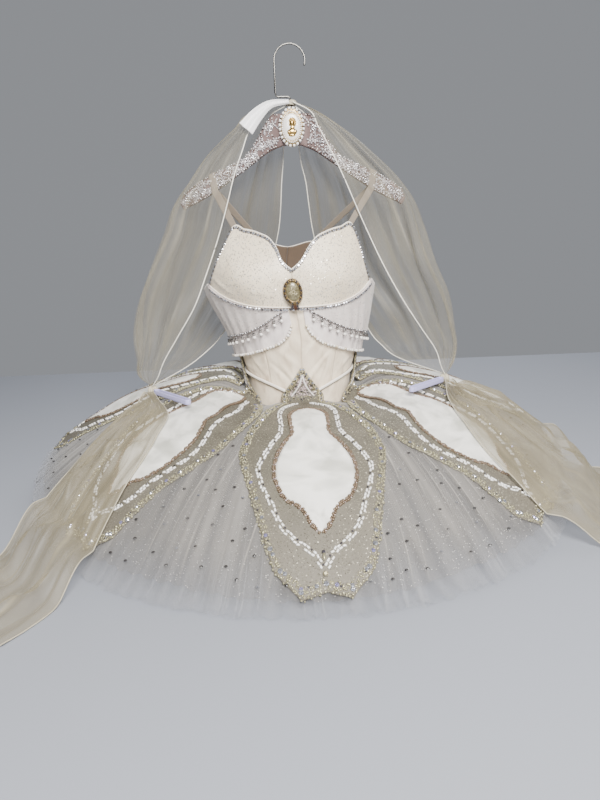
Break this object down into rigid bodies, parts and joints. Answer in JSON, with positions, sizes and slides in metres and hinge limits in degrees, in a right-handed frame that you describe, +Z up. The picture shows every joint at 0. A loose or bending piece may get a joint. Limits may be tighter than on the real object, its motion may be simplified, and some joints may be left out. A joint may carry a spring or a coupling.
{
  "type": "ballet tutu",
  "caption": "Pancake ballet tutu with a beaded petal overlay, sheer arm veils with long tails, hanging on a padded hanger.",
  "frame": {"origin": "inner top of the hanger's hook, where the rail carries it", "axes": "+Z up; the wearer's front faces -Y; +X is the wearer's left"},
  "size_m": [1.1504, 0.9908, 0.7301],
  "materials": {
    "cream_satin": "cream duchess satin with a soft sheen",
    "glitter_lace": "pale lace over satin, thick with fine glitter and pearls",
    "nude_mesh": "skin-toned stretch mesh and elastic",
    "grey_net": "stiff pale grey net with fine glitter",
    "gold_beading": "net backed appliqué in pale gold bead and bugle work",
    "cream_inset": "cream lace inset with fine beads",
    "cream_organza": "sheer cream silk organza with rolled hems",
    "white_satin": "white satin ribbon",
    "lilac_elastic": "matt lilac-white elastic",
    "mauve_velvet": "mauve velvet with pearl and lace work",
    "silver_wire": "polished wire",
    "antique_gold": "antique gold with a pearl and relief face",
    "pearl": "pearl"
  },
  "bodies": {
    "root": {"back_hook_tape": "cream_satin", "back_yoke_left": "nude_mesh", "back_yoke_right": "nude_mesh", "basque_left": "cream_satin", "basque_right": "cream_satin", "bodice_back_left": "cream_satin", "bodice_back_right": "cream_satin", "bodice_centre_front_left": "cream_satin", "bodice_centre_front_right": "cream_satin", "bodice_side_back_left": "cream_satin", "bodice_side_back_right": "cream_satin", "bodice_side_front_left": "cream_satin", "bodice_side_front_right": "cream_satin", "brooch_drop": "pearl", "bust_brooch": "antique_gold", "cup_left": "glitter_lace", "cup_right": "glitter_lace", "drape_lower_left": "cream_satin", "drape_lower_right": "cream_satin", "drape_upper_left": "glitter_lace", "drape_upper_right": "glitter_lace", "elastic_loop_left": "lilac_elastic", "elastic_loop_right": "lilac_elastic", "hanger_board": "mauve_velvet", "hanger_cameo": "antique_gold", "hanger_hook": "silver_wire", "knickers_back": "cream_satin", "knickers_front": "cream_satin", "knickers_gusset": "cream_satin", "neck_ribbon": "white_satin", "petal_0": "gold_beading", "petal_1": "gold_beading", "petal_2": "gold_beading", "petal_3": "gold_beading", "petal_4": "gold_beading", "petal_5": "gold_beading", "petal_6": "gold_beading", "petal_7": "gold_beading", "petal_inset_0": "cream_inset", "petal_inset_1": "cream_inset", "petal_inset_2": "cream_inset", "petal_inset_3": "cream_inset", "petal_inset_4": "cream_inset", "petal_inset_5": "cream_inset", "petal_inset_6": "cream_inset", "petal_inset_7": "cream_inset", "skirt_top_net": "grey_net", "skirt_under_net_1": "grey_net", "skirt_under_net_2": "grey_net", "skirt_under_net_3": "grey_net", "strap_left": "nude_mesh", "strap_right": "nude_mesh", "veil_gather_left": "cream_organza", "veil_gather_right": "cream_organza", "veil_knot": "cream_organza", "veil_left": "cream_organza", "veil_right": "cream_organza", "veil_tail_left": "cream_organza", "veil_tail_right": "cream_organza", "waist_piping": "cream_satin"}
  },
  "joints": []
}
